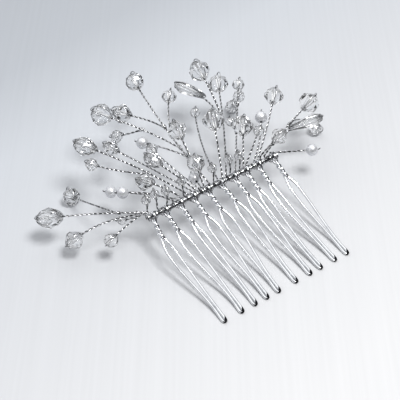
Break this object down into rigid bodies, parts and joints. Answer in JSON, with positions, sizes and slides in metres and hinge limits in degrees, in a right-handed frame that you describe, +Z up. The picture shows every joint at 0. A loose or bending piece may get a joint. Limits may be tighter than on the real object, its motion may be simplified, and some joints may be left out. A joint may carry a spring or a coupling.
{
  "type": "decorative hair comb",
  "caption": "Silver wire hair comb: hairpin tines hooked to a wire spine, which carries branching sprays of cut crystal and pearl beads on twisted wire stems.",
  "frame": {"origin": "on the resting surface, under the middle of the comb's footprint", "axes": "+X runs along the spine, +Y points from the tine tips towards the sprays, +Z is up from the resting surface"},
  "size_m": [0.0984, 0.083, 0.025],
  "materials": {
    "tine_wire": "bright silver-plated round wire, drawn smooth, faint draw lines",
    "spine_wire": "silver-plated rod, slightly tarnished under the binding",
    "binding_wire": "fine silver-plated wire, tightly wound",
    "stem_wire": "fine silver-plated wire, twisted in pairs",
    "crystal": "clear cut lead glass, polished facets",
    "pearl": "white nacre coating with a soft sheen"
  },
  "bodies": {
    "root": {"tine_01": "tine_wire", "tine_02": "tine_wire", "tine_03": "tine_wire", "tine_04": "tine_wire", "tine_05": "tine_wire", "tine_06": "tine_wire", "tine_07": "tine_wire", "tine_08": "tine_wire", "tine_09": "tine_wire", "tine_10": "tine_wire", "spine_rod": "spine_wire", "binding_wire": "binding_wire", "spine_bead_wires": "stem_wire", "spine_beads": "crystal", "spray_01_wire": "stem_wire", "spray_02_wire": "stem_wire", "spray_03_wire": "stem_wire", "spray_04_wire": "stem_wire", "spray_05_wire": "stem_wire", "spray_06_wire": "stem_wire", "spray_07_wire": "stem_wire", "spray_08_wire": "stem_wire", "spray_09_wire": "stem_wire", "spray_10_wire": "stem_wire", "spray_11_wire": "stem_wire", "spray_12_wire": "stem_wire", "spray_13_wire": "stem_wire", "spray_14_wire": "stem_wire", "spray_01_crystals": "crystal", "spray_03_crystals": "crystal", "spray_04_crystals": "crystal", "spray_05_crystals": "crystal", "spray_06_crystals": "crystal", "spray_07_crystals": "crystal", "spray_08_crystals": "crystal", "spray_09_crystals": "crystal", "spray_10_crystals": "crystal", "spray_11_crystals": "crystal", "spray_12_crystals": "crystal", "spray_13_crystals": "crystal", "spray_14_crystals": "crystal", "spray_02_pearls": "pearl", "spray_06_pearls": "pearl", "spray_07_pearls": "pearl", "spray_12_pearls": "pearl", "spray_13_pearls": "pearl"}
  },
  "joints": []
}
